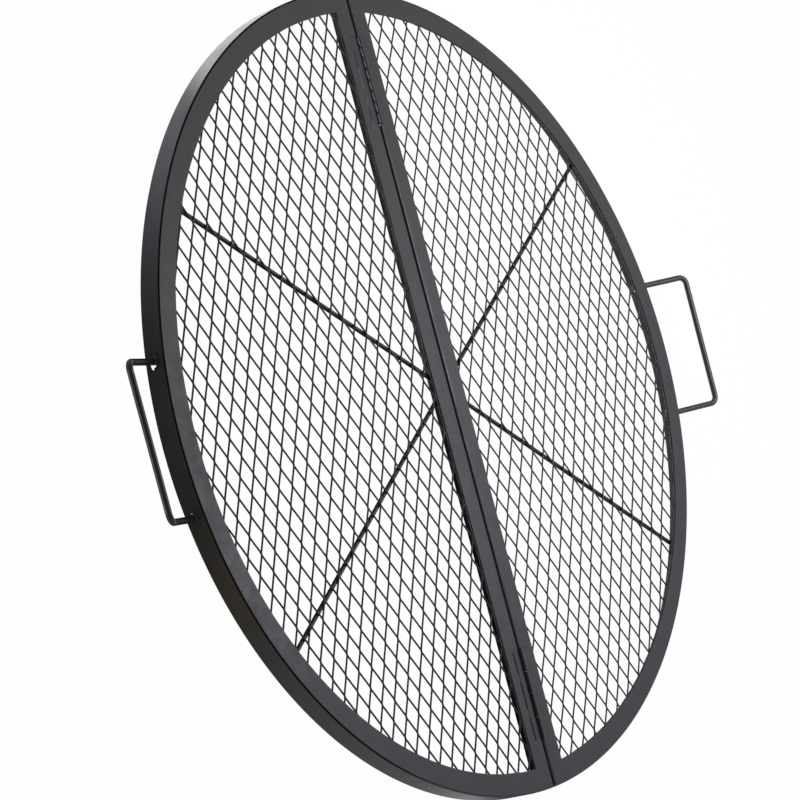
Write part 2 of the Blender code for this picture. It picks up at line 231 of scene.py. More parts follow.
def coat(name, slot, color, roughness, cloud=0.10, grain=0.30, speck=0.5, mottle=0.05, front=None,
         wear_and_highlight=None, rub=None, dashes=None, painted_shade=None, fade=None, gap_shade=None):
    """Powder coat on steel: cloudy tone, fine orange peel and a sprinkle of grains.

    mottle is how far the roughness strays. front is the colour that the coat takes on at its front end.
    wear_and_highlight is a list for bands(): slightly greyer worn edges; with rub they are
    a painted highlight in that colour instead. dashes is (start, pitch) of the knuckles that break up these
    bands.
    painted_shade is a list like wear_and_highlight: bands painted dark as shade, rougher too. fade is
    (y with no painted shade, y with its full share, that share). gap_shade is (from z, to z): the coat is
    painted darker toward the top, as shade in a gap.
    """
    mat = bpy.data.materials.new(name)
    mat.use_nodes = True
    graph = Graph(mat.node_tree)
    shader = mat.node_tree.nodes["Principled BSDF"]
    place = graph.add("ShaderNodeTexCoord").outputs["Object"]
    split = graph.add("ShaderNodeSeparateXYZ")
    graph.put(place, split.inputs["Vector"])
    apart = split.outputs

    clouds = graph.field(place, *CLOUDS)
    tone = graph.remap(graph.calc("ADD", clouds, graph.field(place, *SMUDGES)), *TONE_SPAN)
    base = graph.blend(tone, scaled(color, 1 - cloud), scaled(color, 1 + cloud))
    if front:
        ahead = graph.blend(tone, scaled(front, 1 - cloud), scaled(front, 1 + cloud))
        base = graph.blend(graph.remap(apart["Y"], *FRONT_BLEND), base, ahead)
    grains = graph.remap(graph.field(place, *GRAINS), *GRAIN_SPAN, 0.0, speck)
    base = graph.blend(grains, base, scaled(color, *GRAIN_TONE))
    rough_spots = graph.calc("ADD", graph.field(place, *MOTTLES), clouds)
    rough = graph.remap(rough_spots, *ROUGH_SPAN, roughness - mottle, roughness + 1.2 * mottle)

    # Bands of greyer wear; where a highlight colour is given, bands of painted highlight
    if wear_and_highlight:
        chips = graph.field(place, *CHIPS)
        broken = graph.remap(chips, *(HIGHLIGHT_SPOTS if rub else RUBBED_FAINTLY))
        rubbed = graph.calc("MULTIPLY", bands(graph, apart, wear_and_highlight), broken)
        if dashes:
            rubbed = dashed_highlight(graph, apart, rubbed, dashes)
        base = graph.blend(rubbed, base, rub or scaled(color, *WORN_TONE))
    # Bands painted dark as shade, and made rougher
    if painted_shade:
        painted_shade_mask = graph.remap(bands(graph, apart, painted_shade), *SHADE_SPAN)
        if fade:
            clean_y, full_y, share = fade
            painted_shade_mask = graph.calc("MULTIPLY", painted_shade_mask, graph.remap(apart["Y"], clean_y, full_y, 0.0, share))
        if wear_and_highlight:
            painted_shade_mask = graph.calc("SUBTRACT", painted_shade_mask, rubbed)
        base = graph.blend(painted_shade_mask, base, SHADE_PAINT)
        rough = graph.calc("MAXIMUM", rough, painted_shade_mask)
    # Painted shade: darker toward the top, as shade in a gap
    if gap_shade:
        base = graph.blend(graph.remap(apart["Z"], *gap_shade), base, SHADE_PAINT)

    bump = graph.add("ShaderNodeBump")
    graph.put(grain, bump.inputs["Strength"])
    graph.put(PEEL_HEIGHT, bump.inputs["Distance"])
    fine = graph.calc("MULTIPLY", graph.field(place, *FINE_PEEL), FINE_SHARE)
    graph.put(graph.calc("ADD", graph.field(place, *PEEL), fine), bump.inputs["Height"])
    graph.put(base, shader.inputs["Base Color"])
    graph.put(rough, shader.inputs["Roughness"])
    graph.put(bump.outputs["Normal"], shader.inputs["Normal"])
    return mat, slot


# The seam where the frame plate meets the rim band is painted dark as shade, on the frame's coat and the
# wall's, less toward the front
SEAM_FADE = (-0.43, -0.33, 0.88)
FRAME_COAT = coat(
    "frame_coat", "frame_coating", (0.0250, 0.0212, 0.0238), 0.40, mottle=0.11,
    front=(0.0236, 0.0200, 0.0325), wear_and_highlight=[("radius", OPENING, 0.0016), ("away", BAR_IN, 0.0016)],
    painted_shade=[("radius", PLATE_RADIUS + 0.0001, 0.0005)], fade=SEAM_FADE)
WALL_COAT = coat(
    "wall_coat", "wall_coating", (0.0268, 0.0238, 0.0240), 0.38, cloud=0.16,
    wear_and_highlight=[("Z", 0.0, 0.0016)], painted_shade=[("Z", RIM_TOP, 0.0006)], fade=SEAM_FADE)
# The centre walls are painted darker toward their tops, as shade in the gap between them
CENTRE_COAT = coat(
    "centre_wall_coat", "wall_coating", (0.0250, 0.0225, 0.0235), 0.42, cloud=0.16,
    wear_and_highlight=[("Z", 0.0, 0.0016)], gap_shade=(0.0165, 0.0205))
MESH_COAT = coat("mesh_coat", "mesh_coating", (0.0330, 0.0250, 0.0222), 0.46, cloud=0.14, speck=0.35)
ROD_COAT = coat("rod_coat", "rod_coating", (0.011, 0.0105, 0.0105), 0.24, cloud=0.15, speck=0.25)
# The left grip's outermost line is painted as a pale bluish highlight; the right wire is painted a lighter
# grey than the left, standing in for the light it reflects
WIRE_COAT = {
    "left": coat(
        "left_wire_coat_painted_highlight", "handle_coating", (0.0085, 0.0080, 0.0076), 0.18, cloud=0.12, grain=0.08,
        speck=0.15, wear_and_highlight=[("X", -GRIP_X - WIRE_R, 0.00010)], rub=(0.16, 0.17, 0.20)),
    "right": coat(
        "right_wire_coat_painted_light", "handle_coating", (0.0400, 0.0360, 0.0390), 0.30, cloud=0.12, grain=0.15,
        speck=0.20),
}
HINGE_GREY = (0.0235, 0.0200, 0.0270)
# The rear hinge's knuckle tops carry a painted highlight, in dashes; both hinges are painted dark as shade
# along the barrel, the front one over a wider strip as its shaded copy
KNUCKLE_HIGHLIGHT = [("Z", PIN_Z + BARREL_R, 0.0018)]
GROOVE_SHADE = [("X", 0.0012, 0.0022), ("X", 0.0034, 0.0020)]
HINGE_COAT = {
    "rear": coat(
        "rear_hinge_coat_painted_highlight", "hinge_coating", HINGE_GREY, 0.36, cloud=0.12, wear_and_highlight=KNUCKLE_HIGHLIGHT,
        rub=(0.22, 0.22, 0.24), dashes=(HINGE_Y["rear"] - HINGE_HALF, KNUCKLE), painted_shade=GROOVE_SHADE),
    "front": coat(
        "front_hinge_coat_painted_shade", "hinge_coating", HINGE_GREY, 0.42, cloud=0.12,
        painted_shade=GROOVE_SHADE + [("X", -0.0008, 0.0022)]),
}
# The mesh's cut edge is painted pale grey as a highlight
EDGE_HIGHLIGHT_COAT = coat("mesh_edge_highlight_coat", "frame_coating", (0.09, 0.09, 0.105), 0.36, cloud=0.30, speck=0.2)
# Deep slit welds are coloured near black, as painted shade in the slits
SLIT_SHADE_COAT = coat("slit_shade_coat", "frame_coating", (0.005, 0.005, 0.005), 0.6, cloud=0.2, speck=0.1)
# The smears on the rear left hinge are coloured pale, as a painted highlight on weld bumps
SMEAR_HIGHLIGHT_COAT = coat("weld_smear_highlight_coat", "frame_coating", (0.110, 0.108, 0.115), 0.42, cloud=0.30, grain=0.45)
WELD_COAT = coat("weld_coat", "frame_coating", (0.027, 0.0260, 0.0270), 0.34, cloud=0.20, grain=0.45)


# Making pieces

def round_edges(obj, width, segments=2, angle=50):
    """Rounded edges, with their shading."""
    mod = obj.modifiers.new("rounded", "BEVEL")
    mod.width = width
    mod.segments = segments
    mod.limit_method = "ANGLE"
    mod.angle_limit = math.radians(angle)
    mod.harden_normals = True
    obj.data.shade_smooth()


def make(name, bm, body, finish, stands_for=(), smooth=None, bevel=None):
    """A named piece of the object from a bmesh, on a body, in a finish."""
    bmesh.ops.recalc_face_normals(bm, faces=bm.faces)
    mesh = bpy.data.meshes.new(name)
    bm.to_mesh(mesh)
    bm.free()
    obj = bpy.data.objects.new(name, mesh)
    bpy.context.scene.collection.objects.link(obj)
    mesh.materials.append(finish[0])
    if smooth is not None:
        mesh.shade_smooth()
        mesh.set_sharp_from_angle(angle=math.radians(smooth))
    if bevel:
        round_edges(obj, *bevel)
    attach(obj, body)
    if stands_for:
        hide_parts(*stands_for)


def arc_through(radius, face, steps):
    """Half circle about the origin cut off at x = face, from front to rear (+X side)."""
    end = math.acos(face / radius)
    angles = [-end + 2 * end * i / steps for i in range(steps + 1)]
    return [(radius * math.cos(a), radius * math.sin(a)) for a in angles]


def mirrored(points, side):
    return [(side * x, y) for x, y in points]


def counter_clockwise(outline):
    area = 0.0
    for (x0, y0), (x1, y1) in zip(outline, outline[1:] + outline[:1]):
        area += x0 * y1 - x1 * y0
    return outline if area > 0 else outline[::-1]


def pierced_plate(outline, holes, ribs, place):
    """A closed plate with holes; ribs are lines it may bend on; place(u, v, face) puts it in space."""
    points = []
    loops = []
    for loop in [outline] + holes:
        start = len(points)
        points += [Vector(p) for p in counter_clockwise(loop)]
        loops.append(list(range(start, len(points))))
    lines = []
    for rib in ribs:
        lines.append((len(points), len(points) + 1))
        points += [Vector(p) for p in rib]
    verts, _, faces, _, _, sources = delaunay_2d_cdt(points, lines, loops, 1, 1e-7)
    solid = [face for face, source in zip(faces, sources) if source == [0]]
    used = sorted({i for face in solid for i in face})
    bm = bmesh.new()
    sheets = []
    for face in (0, 1):
        sheets.append({i: bm.verts.new(place(verts[i].x, verts[i].y, face)) for i in used})
    below, above = sheets
    runs = set()
    for face in solid:
        bm.faces.new([below[i] for i in reversed(face)])
        bm.faces.new([above[i] for i in face])
        runs.update(zip(face, face[1:] + face[:1]))
    for i, j in sorted(runs):
        if (j, i) not in runs:
            bm.faces.new((below[i], below[j], above[j], above[i]))
    return bm


def skin(bm, rings):
    """A closed bar through rings of corners."""
    count = len(rings[0])
    for near, far in zip(rings, rings[1:]):
        for k in range(count):
            m = (k + 1) % count
            bm.faces.new((near[k], near[m], far[m], far[k]))
    bm.faces.new(rings[0][::-1])
    bm.faces.new(rings[-1])


def direction_at(path, i):
    return (path[min(i + 1, len(path) - 1)] - path[max(i - 1, 0)]).normalized()


def sweep(path, radii, sides, bm=None):
    """A closed round bar along a path, with a radius for each point."""
    bm = bm or bmesh.new()
    rings = []
    tangent = (path[1] - path[0]).normalized()
    across = tangent.orthogonal().normalized()
    for i, point in enumerate(path):
        ahead = direction_at(path, i)
        across = tangent.rotation_difference(ahead) @ across
        across = (across - ahead * across.dot(ahead)).normalized()
        tangent = ahead
        up = tangent.cross(across)
        ring = []
        for k in range(sides):
            a = 2 * math.pi * k / sides
            ring.append(bm.verts.new(point + radii[i] * (math.cos(a) * across + math.sin(a) * up)))
        rings.append(ring)
    skin(bm, rings)
    return bm


def eased_ends(radius, ease, count):
    """Radii along a bar whose two ends are eased."""
    return [radius - ease] + [radius] * (count - 2) + [radius - ease]


# A bead's rings: how far apart they are and how many sides they have
BEAD_STEP = 0.00035
BEAD_SIDES = 10


def bead(bm, path, radius, ripple=0.0016, flat=None, seed=0.0):
    """A weld bead along a path: overlapping ripples, uneven, closing to rounded ends.

    flat is (normal, share, base): the bead is pressed along normal to that share of its height
    over base.
    """
    lengths = [0.0]
    for a, b in zip(path, path[1:]):
        lengths.append(lengths[-1] + (b - a).length)
    total = lengths[-1]
    count = max(8, int(total / BEAD_STEP))
    points = []
    radii = []
    for i in range(count + 1):
        s = total * i / count
        k = 0
        while k < len(path) - 2 and lengths[k + 1] < s:
            k += 1
        part = (s - lengths[k]) / (lengths[k + 1] - lengths[k])
        points.append(path[k].lerp(path[k + 1], part))
        wave = noise.noise(Vector((s * 260 + seed, seed * 1.7, 0.3)))
        end = min(s, total - s) / (radius * 1.3)
        cap = math.sqrt(max(0.02, 1 - (1 - min(end, 1.0)) ** 2))
        scale = 0.86 + 0.14 * abs(math.sin(math.pi * (s / ripple + 0.4 * wave))) + 0.16 * wave
        radii.append(radius * cap * scale)
    before = len(bm.verts)
    sweep(points, radii, BEAD_SIDES, bm)
    bm.verts.ensure_lookup_table()
    for vert in bm.verts[before:]:
        shift = noise.noise_vector(vert.co * 700 + Vector((seed, 0, 0)))
        vert.co += shift * radius * 0.10
        if flat:
            normal, share, base = flat
            height = (vert.co - base).dot(normal)
            vert.co -= normal * height * (1 - share)


# Top frames

ARC_STEPS = 256
# How far the fold edge's rounding reaches onto each bar, and how far it comes down
FOLD_ROUND = {"left": (0.0014, 0.0012), "right": (0.0036, 0.0018)}
FOLD_EDGE = {"left": BAR_OUT, "right": 0.0024}
# The lines along the bar on which that rounding bends, as shares of its width
RIB_PLACES = (0.04, 0.12, 0.22, 0.34, 0.48, 0.64, 0.82, 1.0)
RIB_Y = 0.46


def notched_outline(edge):
    outline = arc_through(PLATE_RADIUS, edge, ARC_STEPS)
    for middle in HINGE_Y.values():
        outline += [
            (edge, middle + NOTCH_HALF),
            (NOTCH, middle + NOTCH_HALF),
            (NOTCH, middle - NOTCH_HALF),
            (edge, middle - NOTCH_HALF),
        ]
    return outline


for label, side in SIDES:
    round_wide, round_deep = FOLD_ROUND[label]
    fold_edge = FOLD_EDGE[label]

    def flat(x, y, face):
        off = min(1.0, max(0.0, 1 - (abs(x) - fold_edge) / round_wide))
        drop = round_deep * (1 - math.sqrt(max(0.0, 1 - off * off)))
        return (x, y, FACE - drop if face else PLATE_LOW)

    outline = mirrored(notched_outline(fold_edge), side)
    opening = mirrored(arc_through(OPENING, BAR_IN, ARC_STEPS), side)
    ribs = []
    for part in RIB_PLACES:
        rib = side * (fold_edge + part * round_wide)
        ribs.append(((rib, -RIB_Y), (rib, RIB_Y)))
    bm = pierced_plate(outline, [opening], ribs, flat)
    make(label + "_frame_plate", bm, label + "_half", FRAME_COAT, [label + "_top_frame"], bevel=(0.00045, 3))


# Rim walls, with the handles' holes

def square_out(point):
    """The level direction from the origin to a point."""
    return Vector((point.x, point.y, 0.0)).normalized()


def handle_points(label, end):
    """A leg's foot on the rim wall's outside, its bend's corner, and the way it points outward."""
    side, shift, twist = HANDLE[label]
    foot_y = shift + end * LEG_Y
    foot = Vector((side * math.sqrt(RIM**2 - foot_y**2), foot_y, LEG_Z))
    corner = Vector((side * GRIP_X, shift + end * LEG_Y, GRIP_Z + end * twist))
    return foot, corner, (corner - foot).normalized()


# The band is (run, height) before it is bent: its length is counted in runs of the outer arc.
# It comes close to the frame's edge, so that no floor shows through the seam.
RUNS = 240
BAND_IN = PLATE_RADIUS + 0.00004
BAND_R = (RIM + RIM_IN) / 2
TURN = 2 * math.acos(BAR_OUT / RIM) / RUNS
# How far the band's top slopes down inward, less and less where the seam's painted shade fades
RIM_SLOPE = 0.0012
HOLE_STEPS = 36
# Each hole's shift from its leg along Y, and its half length and half height
HOLES = {
    ("left", 1): (-0.0028, 0.0058, 0.0040),
    ("left", -1): (0.0007, 0.00525, 0.00525),
    ("right", 1): (-0.0007, 0.00525, 0.00525),
    ("right", -1): (0.0007, 0.00525, 0.00525),
}


def leg_hole(label, end):
    """The outline of the hole for a handle's leg, on the band."""
    foot, corner, outward = handle_points(label, end)
    leg = foot - outward * ((RIM - RIM_IN) / 2 / outward.dot(square_out(foot)))
    shift, long, tall = HOLES[(label, end)]
    centre = RUNS / 2 + math.asin((leg.y + shift) / BAND_R) / TURN
    hole = []
    for k in range(HOLE_STEPS):
        a = 2 * math.pi * k / HOLE_STEPS
        hole.append((centre + long * math.cos(a) / BAND_R / TURN, leg.z + tall * math.sin(a)))
    return hole


outer = arc_through(RIM, BAR_OUT, RUNS)
inner = arc_through(BAND_IN, BAR_OUT, RUNS)
for label, side in SIDES:

    def bent(u, z, face):
        run = min(int(u), RUNS - 1)
        part = u - run
        circle = outer if face else inner
        x = circle[run][0] * (1 - part) + circle[run + 1][0] * part
        y = circle[run][1] * (1 - part) + circle[run + 1][1] * part
        if z > RIM_TOP - 1e-6 and not face:
            z -= RIM_SLOPE * min(1.0, max(0.0, (y - SEAM_FADE[0]) / (SEAM_FADE[1] - SEAM_FADE[0])))
        return (side * x, y, z)

    top = [(float(u), RIM_TOP) for u in range(RUNS + 1)]
    low = [(float(u), 0.0) for u in range(RUNS + 1)]
    holes = [leg_hole(label, end) for end in (1, -1)]
    bm = pierced_plate(low + top[::-1], holes, list(zip(low[1:-1], top[1:-1])), bent)
    make(label + "_rim_band", bm, label + "_half", WALL_COAT, [label + "_rim_wall"], bevel=(0.00035, 3))


# Centre walls stay as they are in the CAD part, with rounded edges and their tops painted darker as shade
for label, side in SIDES:
    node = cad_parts[label + "_center_wall"]
    node.data.materials.clear()
    node.data.materials.append(CENTRE_COAT[0])
    round_edges(node, 0.0004)


# Expanded steel mesh: width of a strand, thickness of each sheet, tilt of the strands, height of
# the sheet, and the share of a strip's half period that a bond takes up
STRAND = 0.0019
SHEET = {"left": 0.0020, "right": 0.0018}
LOUVRE = math.radians(38)
MESH_Z = 0.0203
BOND = 0.06
NET_X = 0.011
NET_Y = 0.020
NET_STEPS = 10
STRIPS = 42
ROWS = 240
STRAND_EASE = 0.00035
MESH_MARGIN = 0.0008
# Each sheet is stretched a little unevenly. Millimetres for 1, u, v, uu, uv, vv, uuu, uuv, uvv, vvv,
# where u and v are the even net's x and y in units of 200 mm; y has only the first three.
STRETCH_UNIT = 0.2
STRETCH = {
    "left": (
        (-4.74, 194.74, -2.67, -8.66, 3.46, -0.62, -3.18, 1.54, -1.28, 0.14),
        (-7.94, 0.62, 202.09),
    ),
    "right": (
        (-6.61, 216.33, -0.70, -17.73, 0.53, -0.63, 5.46, -0.12, 2.47, 0.57),
        (-11.27, 1.53, 202.29),
    ),
}


def stretched(label, x, y):
    """Where a point of the even net lies on the sheet."""
    u = x / STRETCH_UNIT
    v = y / STRETCH_UNIT
    powers = (1.0, u, v, u * u, u * v, v * v, u**3, u * u * v, u * v * v, v**3)
    return [sum(c * p for c, p in zip(factors, powers)) / 1000 for factors in STRETCH[label]]


def strand_section(centre, tangent, wide, thick):
    """Eight corners of a strand's section: a rectangle with its coated corners eased."""
    u = (wide - tangent * wide.dot(tangent)).normalized()
    n = tangent.cross(u)
    w = STRAND / 2 * 1.03
    t = thick / 2
    c = STRAND_EASE
    shape = [(w - c, -t), (w, -t + c), (w, t - c), (w - c, t)]
    shape += [(-w + c, t), (-w, t - c), (-w, -t + c), (-w + c, -t)]
    return [centre + u * a + n * b for a, b in shape]


def expanded_mesh(label, side):
    """Slit and stretched sheet: strips that zigzag from bond to bond, each bond shared by two strips."""
    bm = bmesh.new()
    wide = Vector((math.cos(LOUVRE), 0.0, -math.sin(LOUVRE)))
    lap = STRAND / 2 * math.cos(LOUVRE)
    lift = STRAND / 2 * math.sin(LOUVRE)
    low = MESH_SIDE if side > 0 else -MESH_REACH
    high = MESH_REACH if side > 0 else -MESH_SIDE

    def centre(k, i):
        # bonds on the strip's right-hand side stand at even rows for odd strips
        row = (i / NET_STEPS + (0 if (k + 1) % 2 == 0 else 1)) % 2.0
        away = min(row, 2.0 - row)
        go = min(1.0, max(0.0, (away - BOND) / (1 - 2 * BOND)))
        swing = 1 - 2 * go
        x, y = stretched(label, NET_X * (k + 0.5) + NET_X / 2 * swing, NET_Y / NET_STEPS * i)
        return Vector((x - lap * swing, y, MESH_Z + lift * swing))

    def inside(point):
        across = low + MESH_MARGIN < point.x < high - MESH_MARGIN
        return across and math.hypot(point.x, point.y) < MESH_REACH - MESH_MARGIN

    def strip(run):
        rings = []
        for j, spot in enumerate(run):
            corners = strand_section(spot, direction_at(run, j), wide, SHEET[label])
            rings.append([bm.verts.new(p) for p in corners])
        skin(bm, rings)

    for k in range(-STRIPS, STRIPS + 1):
        run = []
        for i in range(-ROWS, ROWS + 1):
            point = centre(k, i)
            if inside(point):
                run.append(point)
            if run and (not inside(point) or i == ROWS):
                if len(run) > 3:
                    strip(run)
                run = []
    return bm


for label, side in SIDES:
    bm = expanded_mesh(label, side)
    make(label + "_expanded_mesh", bm, label + "_half", MESH_COAT, [label + "_mesh"], smooth=50)


# Rods, and the welds at their ends. Each rod's angle across the fold line is as it lies in the photo
ROD_LIES = {
    ("left", "rear"): math.radians(32.45),
    ("left", "front"): math.radians(33.26),
    ("right", "rear"): math.radians(32.6),
    ("right", "front"): math.radians(33.0),
}
ROD_STEPS = 40
ROD_SIDES = 28
ROD_EASE = 0.0003
# The weld's ring lies round the rod this far out; it starts and ends beside the rod's underside
ROD_WELD_R = 0.0026
ROD_WELD_STEPS = 14
ROD_WELD_FROM = -70
ROD_WELD_SWEEP = 320

for label, side in SIDES:
    for place, end in ENDS:
        angle = ROD_LIES[(label, place)]
        along = Vector((side * math.cos(angle), end * math.sin(angle), 0.0))
        start = (WALL_BACK + WELD_GAP + ROD_R * math.sin(angle)) / math.cos(angle)
        stop = math.sqrt((RIM_IN - WELD_GAP) ** 2 - ROD_R**2)
        level = UP * ROD_Z
        inner_length = stop - start - 2 * ROD_EASE
        stations = [start, start + ROD_EASE]
        stations += [start + ROD_EASE + inner_length * i / ROD_STEPS for i in range(1, ROD_STEPS)]
        stations += [stop - ROD_EASE, stop]
        radii = eased_ends(ROD_R, ROD_EASE, len(stations))
        bm = sweep([along * s + level for s in stations], radii, ROD_SIDES)
        make(f"{label}_{place}_round_rod", bm, label + "_half", ROD_COAT, [f"{label}_{place}_rod"], smooth=60)

        bm = bmesh.new()
        across = Vector((-along.y, along.x, 0.0))
        for spot, tilt in ((start + 0.0012, -1), (stop - 0.0010, 1)):
            ring = []
            for i in range(ROD_WELD_STEPS + 1):
                a = math.radians(ROD_WELD_FROM + ROD_WELD_SWEEP * i / ROD_WELD_STEPS)
                out = across * math.cos(a) + UP * math.sin(a)
                # at the centre wall the ring leans with the wall
                lean = across.dot(out) * math.tan(angle) * side * end if tilt < 0 else 0.0
                ring.append(along * (spot + lean * ROD_WELD_R) + level + out * ROD_WELD_R)
            bead(bm, ring, 0.0014, seed=side * 3.1 + end * 7.7 + tilt)
        make(f"{label}_{place}_rod_welds", bm, label + "_half", WELD_COAT, smooth=60)


# Handles, and the welds round their legs

WIRE_SIDES = 32
WIRE_EASE = 0.0004
WIRE_STEP = 0.004
BEND_R = 0.009
BEND_STEPS = 16
# How far a leg reaches inside from its foot, along its own direction
LEG_INSIDE = 0.0055
# Spans of the weld round each leg, in degrees; the side that faces the other leg stays open
LEG_WELDS = {
    ("left", 1): ((-125, 60), (80, 150)),
    ("left", -1): ((-75, 215),),
    ("right", 1): ((-60, 225),),
    ("right", -1): ((-70, 75), (100, 210)),
}
LEG_WELD_WIDE = 0.0041
LEG_WELD_TALL = 0.0045
LEG_WELD_STEPS = 20
# Spatter beside the left rear leg: along the wall, height above the leg, size
SPATTER = [
    (-0.0075, 0.0022, 0.0016),
    (-0.0090, -0.0030, 0.0011),
    (0.0082, 0.0040, 0.0013),
    (0.0102, -0.0012, 0.0017),
    (0.0128, 0.0016, 0.0010),
    (0.0088, -0.0052, 0.0012),
    (0.0046, -0.0078, 0.0009),
]


def rounded_path(points, radius, steps):
    path = [points[0]]
    for before, corner, after in zip(points, points[1:], points[2:]):
        back = (before - corner).normalized()
        ahead = (after - corner).normalized()
        half = back.angle(ahead) / 2
        start = corner + back * radius / math.tan(half)
        centre = corner + (back + ahead).normalized() * radius / math.sin(half)
        axis = ahead.cross(back).normalized()
        turn_by = math.pi - 2 * half
        for i in range(steps + 1):
            path.append(centre + Matrix.Rotation(turn_by * i / steps, 3, axis) @ (start - centre))
    path.append(points[-1])
    return path


def wire(feet):
    """The bent wire from inside the rim wall, round the grip and back through the wall."""
    inside = {end: foot - outward * LEG_INSIDE for end, (foot, corner, outward) in feet.items()}
    path = rounded_path([inside[1], feet[1][1], feet[-1][1], inside[-1]], BEND_R, BEND_STEPS)
    full = [path[0], path[0].lerp(path[1], WIRE_EASE / (path[1] - path[0]).length)]
    for a, b in zip(path, path[1:]):
        pieces = max(1, int((b - a).length / WIRE_STEP))
        full += [a.lerp(b, i / pieces) for i in range(1, pieces + 1)]
    full = full[:-1] + [full[-1].lerp(full[-2], 0.2), full[-1]]
    return sweep(full, eased_ends(WIRE_R, WIRE_EASE, len(full)), WIRE_SIDES)


def onto_wall(point, height):
    """Moves a point level to a height over the rim wall's outside."""
    reach = Vector((point.x, point.y, 0.0))
    return point + reach.normalized() * (RIM + height - reach.length)


def messy_weld(bm, foot, along, outward):
    """Drips, a run and spatter round the left handle's rear leg; along is the way to the rear."""
    drip = foot + UP * -0.0028 + along * 0.0012
    bead(bm, [drip + outward * reach for reach in (0.0005, 0.0065, 0.0130)], 0.0020, ripple=0.0062, seed=2.2)
    run = foot + UP * -0.0021 + along * 0.0006
    bead(bm, [run + outward * reach for reach in (0.0170, 0.0270, 0.0390)], 0.0023, ripple=0.0170, seed=6.1)
    for number, (aside, height, size) in enumerate(SPATTER):
        lump = onto_wall(foot + along * aside + UP * height, -0.0002)
        path = [lump - along * size, lump, lump + along * size * 0.8]
        bead(bm, path, size, ripple=0.0021, seed=number * 2.7)
    crown = foot + UP * 0.0042 + along * 0.0026
    path = [crown - along * 0.0030, crown + outward * 0.0012, crown + along * 0.0045]
    bead(bm, path, 0.0031, ripple=0.0030, seed=4.9)


for label, side in SIDES:
    feet = {end: handle_points(label, end) for end in (1, -1)}
    bm = wire(feet)
    make(label + "_wire_handle", bm, label + "_half", WIRE_COAT[label], [label + "_handle"], smooth=60)

    bm = bmesh.new()
    for end, (foot, corner, outward) in feet.items():
        square = square_out(foot)
        along = Vector((-square.y, square.x, 0.0)) * side
        for number, (low, high) in enumerate(LEG_WELDS[(label, end)]):
            ring = []
            for i in range(LEG_WELD_STEPS + 1):
                a = math.radians(low + (high - low) * i / LEG_WELD_STEPS)
                spot = foot + along * end * LEG_WELD_WIDE * math.cos(a) + UP * LEG_WELD_TALL * math.sin(a)
                ring.append(onto_wall(spot, 0.0003))
            bead(bm, ring, 0.0016, seed=side * 5.3 + end * 2.9 + number)
        if (label, end) == ("left", 1):
            messy_weld(bm, foot, along, outward)
    make(label + "_handle_welds", bm, label + "_half", WELD_COAT, smooth=60)


# Hinges

CURL_STEPS = 44
CURL = math.radians(310)
KNUCKLE_GAP = 0.00015
# The right leaf's knuckles leave it by a strip sunk this deep, which shows as a dark slot
DIP = 0.0009
PIN_EASE = 0.0003
PIN_SIDES = 24


def curl_profile():
    outer_start = -math.asin((PIN_Z - LEAF_LOW) / BARREL_R)
    inner_start = -math.asin((PIN_Z - FACE) / BORE_R)
    end = outer_start - CURL
    outer_curl = []
    inner_curl = []
    for i in range(CURL_STEPS + 1):
        a = outer_start + (end - outer_start) * i / CURL_STEPS
        b = inner_start + (end - inner_start) * i / CURL_STEPS
        outer_curl.append((BARREL_R * math.cos(a), PIN_Z + BARREL_R * math.sin(a)))
        inner_curl.append((BORE_R * math.cos(b), PIN_Z + BORE_R * math.sin(b)))
    return outer_curl + inner_curl[::-1]


def leaf(side, middle, first):
    """A hinge leaf with every second knuckle from the first, closed all round."""
    bm = bmesh.new()
    edge = LEAF_IN[side]
    back = SHORT_LEAF_OUT if side < 0 and middle < 0 else LEAF_OUT
    front = middle - HINGE_HALF
    rear = middle + HINGE_HALF
    knuckles = []
    stations = [front]
    for k in range(first, KNUCKLES, 2):
        start = front if k == 0 else front + k * KNUCKLE + KNUCKLE_GAP
        stop = rear if k == KNUCKLES - 1 else front + (k + 1) * KNUCKLE - KNUCKLE_GAP
        knuckles.append((start, stop))
        stations += [y for y in (start, stop) if y not in (front, rear)]
    stations.append(rear)
    corners = {}

    def face(*points):
        ring = []
        for point in points:
            if point not in corners:
                corners[point] = bm.verts.new((side * point[0], point[1], point[2]))
            ring.append(corners[point])
        bm.faces.new(ring)

    for z in (LEAF_LOW, FACE):
        face((back, front, z), (back, rear, z), *[(edge, y, z) for y in reversed(stations)])
    face((back, front, LEAF_LOW), (back, rear, LEAF_LOW), (back, rear, FACE), (back, front, FACE))
    for y in (front, rear):
        face((edge, y, LEAF_LOW), (back, y, LEAF_LOW), (back, y, FACE), (edge, y, FACE))
    for start, stop in zip(stations, stations[1:]):
        if (start, stop) not in knuckles:
            face((edge, start, LEAF_LOW), (edge, stop, LEAF_LOW), (edge, stop, FACE), (edge, start, FACE))
    low = [(edge, LEAF_LOW)]
    high = [(edge, FACE)]
    if side > 0:
        low += [(edge - 0.0004, LEAF_LOW - DIP), (0.0021, LEAF_LOW - DIP)]
        high = [(0.0015, FACE - DIP), (edge - 0.0003, FACE - DIP)] + high
    curl = low + curl_profile() + high
    for start, stop in knuckles:
        for (xa, za), (xb, zb) in zip(curl, curl[1:]):
            face((xa, start, za), (xb, start, zb), (xb, stop, zb), (xa, stop, za))
        for y in (start, stop):
            face(*[(x, y, z) for x, z in curl])
    return bm


